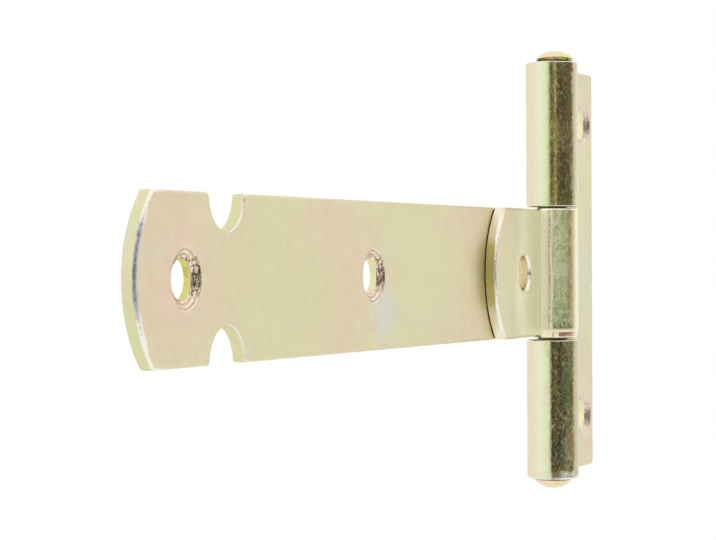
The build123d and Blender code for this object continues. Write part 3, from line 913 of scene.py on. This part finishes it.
    # bare punched walls and drilled cones
    walls = n.mix(n.ramp(mid, 0.40, 0.62), rgb(221, 226, 180), rgb(219, 222, 172))
    walls = n.mix(n.math("MULTIPLY", n.ramp(small, 0.54, 0.68), 0.5), walls, rgb(228, 222, 190))
    base = n.mix(n.math("MULTIPLY", cut, 0.75), base, walls)
    tint = p.noise(0.7, 3.0, 0.6, 0.5, (9.0, 8.0, 2.0))
    wall = n.mix(n.ramp(tint, 0.45, 0.62), rgb(214, 207, 118), rgb(198, 188, 98))
    wall = n.mix(n.ramp(p.x, -110.0, -100.0), wall, rgb(228, 221, 170))
    wall = n.mix(n.ramp(p.x, 8.0, 12.0), wall, rgb(240, 234, 184))
    plain = n.mix(n.ramp(p.z, -3.0, 2.0), rgb(238, 228, 192), rgb(240, 222, 196))
    # painted shade and highlight: the cone's grooves are darkened and its crests lightened
    crest = n.new("ShaderNodeAttribute", attribute_name="crest").outputs["Fac"]
    cone = n.mix(n.ramp(crest, 0.30, 0.68), rgb(212, 186, 156), rgb(246, 232, 214))
    cone = n.mix(n.ramp(p.x, 8.0, 12.0, 0.0, 0.7), cone, rgb(228, 210, 190))
    cone = n.mix(n.math("MULTIPLY", n.ramp(tint, 0.50, 0.64), 0.35), cone, rgb(230, 204, 182))
    # painted reflection: a dark band across the middle height of each cone, broken up by the same noise that roughens
    # the cones
    cone_tears_and_painted_shade = p.noise(0.24, 3.0, 0.65, 0.2, (4.0, 4.0, 8.0), (1.0, 1.0, 1.6))
    level = n.math("MULTIPLY", n.ramp(n.math("ABSOLUTE", n.math("SUBTRACT", n.math("ABSOLUTE", p.z), n.ramp(p.x, 8.0, 12.0, 0.4, 29.5))), 3.0, 1.6), n.ramp(cone_tears_and_painted_shade, 0.47, 0.55))
    level = n.math("MULTIPLY", level, n.math("MULTIPLY", n.ramp(p.x, 8.0, 12.0, 0.88, 0.42), n.ramp(p.x, -110.0, -100.0, 1.0, 0.72)))
    cone = n.mix(n.math("MULTIPLY_ADD", n.ramp(cone_tears_and_painted_shade, 0.55, 0.62), 0.15, level, clamp=True), cone, rgb(100, 80, 46))
    deep = n.ramp(p.y, RI + 0.80, RI + 0.95)
    under_lap = n.math("MULTIPLY", n.ramp(p.x, -18.5, -18.0), n.ramp(p.x, -9.0, -9.5))
    base = n.mix(bored, base, n.mix(under_lap, n.mix(deep, cone, wall), plain))
    # painted shade: inside the thin gap between the lap and the strap, both faces are darkened almost to black
    lap_r = n.math("SQRT", n.math("ADD", n.math("POWER", n.math("ADD", p.x, 12.0), 2.0), n.math("POWER", n.math("ADD", p.z, 0.42), 2.0)))
    painted_gap_shade = n.math("MULTIPLY", n.math("MULTIPLY", n.ramp(p.y, 2.70, 2.715), n.ramp(p.y, 2.88, 2.865)), n.math("MULTIPLY", n.ramp(lap_r, 17.02, 16.90), n.ramp(p.x, -8.5, -9.5)))
    base = n.mix(n.math("MULTIPLY", painted_gap_shade, n.math("SUBTRACT", 1.0, bored)), base, rgb(56, 50, 30))
    lap_wall = n.math("MULTIPLY", n.math("MULTIPLY", cut, n.math("SUBTRACT", 1.0, bored)), n.math("MULTIPLY", n.math("MULTIPLY", n.ramp(p.x, -32.0, -31.0), n.ramp(p.x, -20.0, -21.0)), n.ramp(p.y, 2.83, 2.76)))
    off_middle = n.math("ABSOLUTE", n.math("ADD", p.z, n.math("MULTIPLY_ADD", mid, 4.0, -1.6)))
    base = n.mix(n.math("MULTIPLY", lap_wall, n.ramp(off_middle, 5.0, 8.0)), base, rgb(243, 235, 212))
    base = n.mix(n.math("MULTIPLY", lap_wall, n.math("MULTIPLY", n.ramp(off_middle, 7.0, 5.0), 0.80)), base, rgb(206, 198, 116))
    blued = n.math("MULTIPLY", n.ramp(p.x, -146.0, -149.0), n.ramp(n.math("ABSOLUTE", n.math("ADD", p.z, -1.0)), 8.0, 4.0))
    # painted highlight and wear: the rounded edges and hole rims are whitened
    base = n.mix(n.math("MULTIPLY", wear_and_highlight, n.math("MULTIPLY_ADD", blued, 0.4, 0.85), clamp=True), base, n.mix(blued, rgb(252, 250, 243), rgb(196, 200, 220)))
    flecks = p.noise(0.36, 3.0, 0.65, 0.2, (3.0, 8.0, 5.0), (1, 1, 1.7))
    base = n.mix(n.math("MULTIPLY", n.math("MULTIPLY", blued, wear_and_highlight), n.ramp(flecks, 0.53, 0.60, 0.0, 0.9)), base, rgb(70, 66, 62))
    n.link(base, bsdf.inputs["Base Color"])

    # gloss: smooth on the faces, patchy on the rolled fronts, torn on the sheared walls
    fine = p.noise(1.1, 4.0, 0.6)
    rough = n.ramp(fine, 0.35, 0.65, 0.36, 0.46, "LINEAR")
    rough = n.math("ADD", rough, n.math("MULTIPLY", on_roll, -0.17))
    blotch = p.noise(1.3, 2.0, 0.6, 0.5, (5.0, 1.0, 8.0), (1, 1, 3.4))
    dots = p.noise(0.22, 3.0, 0.65, 0.2, (8.0, 3.0, 2.0), (1, 1, 1.5))
    patch = n.ramp(n.math("ADD", n.math("MULTIPLY", dots, 0.62), n.math("MULTIPLY", blotch, 0.38)), 0.42, 0.60, 0.0, 1.0)
    barrel = n.math("MULTIPLY_ADD", patch, 0.25, 0.09)
    crease_band = n.math("MULTIPLY", n.ramp(rel, -16.0, -13.0), n.ramp(rel, -3.5, -5.0))
    dull_rough = n.math("MULTIPLY_ADD", n.ramp(weave, 0.36, 0.62), 0.16, 0.40)
    dull_rough = n.math("SUBTRACT", dull_rough, n.math("MULTIPLY", crease_band, 0.22))
    dull_rough = n.math("ADD", dull_rough, n.math("MULTIPLY", n.math("SUBTRACT", 1.0, front), 0.08))
    barrel = n.math("ADD", n.math("MULTIPLY", barrel, n.math("SUBTRACT", 1.0, centre)), n.math("MULTIPLY", dull_rough, centre))
    on_front = n.math("MULTIPLY", on_roll, n.math("MAXIMUM", front, n.math("MULTIPLY", centre, n.ramp(rel, 60.0, 50.0))))
    rough = n.math("ADD", n.math("MULTIPLY", rough, n.math("SUBTRACT", 1.0, on_front)), n.math("MULTIPLY", barrel, on_front))
    torn = n.math("MULTIPLY", cut, n.math("SUBTRACT", 1.0, bored))
    rough = n.math("ADD", rough, n.math("MULTIPLY", torn, 0.06))
    rough = n.math("SUBTRACT", rough, n.math("MULTIPLY", bored, 0.16))
    nicks = p.noise(0.33, 3.0, 0.6, 0.2, (3.0, 8.0, 5.0))
    rubbed = n.math("MULTIPLY_ADD", n.ramp(nicks, 0.44, 0.58), 0.20, 0.14)
    rough = n.math("ADD", n.math("MULTIPLY", rough, n.math("SUBTRACT", 1.0, wear_and_highlight)), n.math("MULTIPLY", rubbed, wear_and_highlight))
    n.link(rough, bsdf.inputs["Roughness"])

    # relief: grain of the sheet, orange peel on the rolls, shear lines across the walls
    grain = p.noise(0.24, 3.0, 0.6)
    peel = p.noise(0.75, 3.0, 0.55, 0.3, (6.0, 6.0, 1.0), (1, 1, 1.5))
    shear = p.noise(0.16, 2.0, 0.6, 0.0, (2.0, 2.0, 2.0), (1.0, 9.0, 1.0))
    high = n.math("MULTIPLY", grain, 0.0020)
    high = n.math("ADD", high, n.math("MULTIPLY", n.math("MULTIPLY", peel, on_roll), 0.040))
    high = n.math("ADD", high, n.math("MULTIPLY", n.math("MULTIPLY", dots, on_front), 0.010))
    high = n.math("ADD", high, n.math("MULTIPLY", n.math("MULTIPLY", shear, torn), 0.045))
    high = n.math("ADD", high, n.math("MULTIPLY", n.math("MULTIPLY", nicks, wear_and_highlight), 0.070))
    high = n.math("ADD", high, n.math("MULTIPLY", n.math("MULTIPLY", n.math("ADD", nicks, cone_tears_and_painted_shade), bored), 0.040))
    bump = n.new("ShaderNodeBump")
    bump.inputs["Strength"].default_value = 1.0
    bump.inputs["Distance"].default_value = 0.001
    n.link(high, bump.inputs["Height"])
    n.link(bump.outputs[0], bsdf.inputs["Normal"])
    return mat


def rivet_finish(name):
    """The same plate on a turned wire whose heads were hammered."""
    mat = bpy.data.materials.new(name)
    mat.use_nodes = True
    n = Nodes(mat.node_tree)
    mat.node_tree.nodes.clear()
    out = n.new("ShaderNodeOutputMaterial")
    bsdf = n.new("ShaderNodeBsdfPrincipled")
    n.link(bsdf.outputs[0], out.inputs[0])
    bsdf.inputs["Metallic"].default_value = 1.0
    p = Place(n)
    soft = p.noise(2.2, 3.0, 0.5, 0.5)
    base = n.mix(n.ramp(soft, 0.42, 0.58), rgb(240, 220, 190), rgb(232, 222, 168))
    base = n.mix(n.math("MULTIPLY", n.ramp(p.noise(0.8, 3.0, 0.6, 0.2, (4.0, 0.0, 3.0)), 0.55, 0.7), 0.6), base, rgb(236, 206, 190))
    side = n.math("ADD", n.math("MULTIPLY", p.x, 0.409), n.math("MULTIPLY", p.y, -0.9126))
    # painted reflection: a lime crescent on one side of the upper head
    painted_reflection_side = n.math("MULTIPLY", n.ramp(n.math("ADD", side, n.math("MULTIPLY", soft, 2.0)), 1.6, 3.2), n.math("MULTIPLY", n.ramp(p.z, 42.1, 41.3), n.ramp(p.z, 0.0, 1.0)))
    base = n.mix(n.math("MULTIPLY", painted_reflection_side, 0.75), base, rgb(226, 226, 142))
    # painted shade: the underside of the heads and the shank are darkened, and dull
    tall = n.math("ABSOLUTE", p.z)
    low = n.math("ADD", n.math("MULTIPLY", n.ramp(p.z, 40.56, 40.50), n.ramp(p.z, 0.0, 1.0)), n.math("MULTIPLY", n.ramp(p.z, -40.18, -40.13), n.ramp(p.z, 0.0, -1.0)), clamp=True)
    base = n.mix(n.math("MULTIPLY", low, 0.85), base, rgb(66, 58, 30))
    n.link(base, bsdf.inputs["Base Color"])
    fine = p.noise(0.5, 4.0, 0.6)
    rough = n.ramp(fine, 0.35, 0.65, 0.14, 0.27, "LINEAR")
    n.link(n.math("MAXIMUM", rough, n.math("MULTIPLY", low, 0.45)), bsdf.inputs["Roughness"])
    dents = p.noise(1.3, 2.0, 0.5, 0.3, (1.0, 4.0, 0.0))
    high = n.math("ADD", n.math("MULTIPLY", dents, 0.05), n.math("MULTIPLY", fine, 0.006))
    bump = n.new("ShaderNodeBump")
    bump.inputs["Strength"].default_value = 1.0
    bump.inputs["Distance"].default_value = 0.001
    n.link(high, bump.inputs["Height"])
    n.link(bump.outputs[0], bsdf.inputs["Normal"])
    return mat


sheet_mat = sheet_finish("yellow_zinc_sheet")
rivet_mat = rivet_finish("yellow_zinc_rivet")

for piece, node, body, slot, mat in (
    (strap_piece, "strap_leaf", "door_side", "yellow_zinc_sheet", sheet_mat),
    (leaf_piece, "cross_leaf", "post_side", "yellow_zinc_sheet", sheet_mat),
    (pin_piece, "hinge_pin", "post_side", "yellow_zinc_rivet", rivet_mat),
):
    piece.data.materials.append(mat)
    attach(piece, body)
    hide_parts(node)

# ------------------------------------------------------------------- stage
a = np.linspace(0, 2 * math.pi, 96, endpoint=False)
floor_mesh = bpy.data.meshes.new("floor")
floor_mesh.from_pydata([(2.0 * math.cos(t), 2.0 * math.sin(t), -0.4) for t in a], [], [tuple(range(96))])
floor = bpy.data.objects.new("floor", floor_mesh)
bpy.context.scene.collection.objects.link(floor)
floor_mat = bpy.data.materials.new("pale_floor")
floor_mat.use_nodes = True
bs = floor_mat.node_tree.nodes["Principled BSDF"]
bs.inputs["Base Color"].default_value = (0.96, 0.96, 0.955, 1)
bs.inputs["Roughness"].default_value = 0.9
floor.data.materials.append(floor_mat)

# Soft white surroundings with one dark side, which the metal mirrors.
world = bpy.data.worlds.new("studio")
bpy.context.scene.world = world
world.use_nodes = True
w = Nodes(world.node_tree)
world.node_tree.nodes.clear()
w_out = w.new("ShaderNodeOutputWorld")
w_bg = w.new("ShaderNodeBackground")
w.link(w_bg.outputs[0], w_out.inputs[0])
way = w.new("ShaderNodeTexCoord").outputs["Generated"]
sep = w.new("ShaderNodeSeparateXYZ")
w.link(way, sep.inputs[0])
az = w.math("MULTIPLY", w.math("ARCTAN2", sep.outputs[1], sep.outputs[0]), 180 / math.pi)
el = w.math("MULTIPLY", w.math("ARCSINE", sep.outputs[2]), 180 / math.pi)
level = w.math("SUBTRACT", 1.0, w.math("MULTIPLY", w.ramp(az, -174.6, -172.8), 0.78))
level = w.math("ADD", level, w.math("MULTIPLY", w.math("MULTIPLY", w.ramp(az, -165.0, -150.0), w.ramp(az, -137.5, -141.5)), w.ramp(el, -3.0, 0.5, 0.04, 0.14)))
level = w.math("ADD", level, w.math("MULTIPLY", w.math("MULTIPLY", w.ramp(az, -148.0, -146.0), w.ramp(az, -140.5, -142.5)), w.ramp(el, 0.0, 1.5, 0.0, 0.52)))
level = w.math("SUBTRACT", level, w.math("MULTIPLY", w.ramp(az, -141.5, -137.5), 0.05))
level = w.math("ADD", level, w.math("MULTIPLY", w.ramp(az, -110.0, -85.0), 0.09))
level = w.math("ADD", level, w.math("MULTIPLY", w.ramp(az, -61.0, -56.0), 0.74))
tall = w.ramp(w.math("ABSOLUTE", el), 25.0, 12.0)
level = w.math("ADD", 1.0, w.math("MULTIPLY", w.math("SUBTRACT", level, 1.0), tall))
light = w.mix(level, (0.0, 0.0, 0.0, 1), (1.05, 1.05, 1.05, 1))
seen = w.new("ShaderNodeLightPath").outputs["Is Camera Ray"]
light = w.mix(seen, light, (1.0, 1.0, 1.0, 1))
w.link(light, w_bg.inputs["Color"])

# ------------------------------------------------------------------ camera
def turn(axis, deg):
    a = math.radians(deg)
    c, s = math.cos(a), math.sin(a)
    return np.array({"x": [[1, 0, 0], [0, c, -s], [0, s, c]], "z": [[c, -s, 0], [s, c, 0], [0, 0, 1]]}[axis])


FOCAL_PX = 2312.17
look = turn("z", -0.2439) @ turn("x", 0.2244) @ np.array([[1, 0, 0], [0, 0, -1], [0, 1, 0]]) @ turn("z", 65.8601)
eye = -look.T @ np.array([37.477, 0.0982, 445.6732])
cam = bpy.data.objects.new("camera", bpy.data.cameras.new("camera"))
bpy.context.scene.collection.objects.link(cam)
m = Matrix.Identity(4)
for i in range(3):
    m[i][0], m[i][1], m[i][2] = look[0][i], -look[1][i], -look[2][i]
    m[i][3] = (eye[i] - FRAME_AT[i]) / 1000
cam.matrix_world = m
cam.data.sensor_width = 36.0
cam.data.lens = FOCAL_PX / 716 * 36.0
cam.data.clip_start, cam.data.clip_end = 0.01, 50
bpy.context.scene.camera = cam
bpy.context.scene.view_settings.view_transform = "Standard"
bpy.context.scene.view_settings.look = "None"
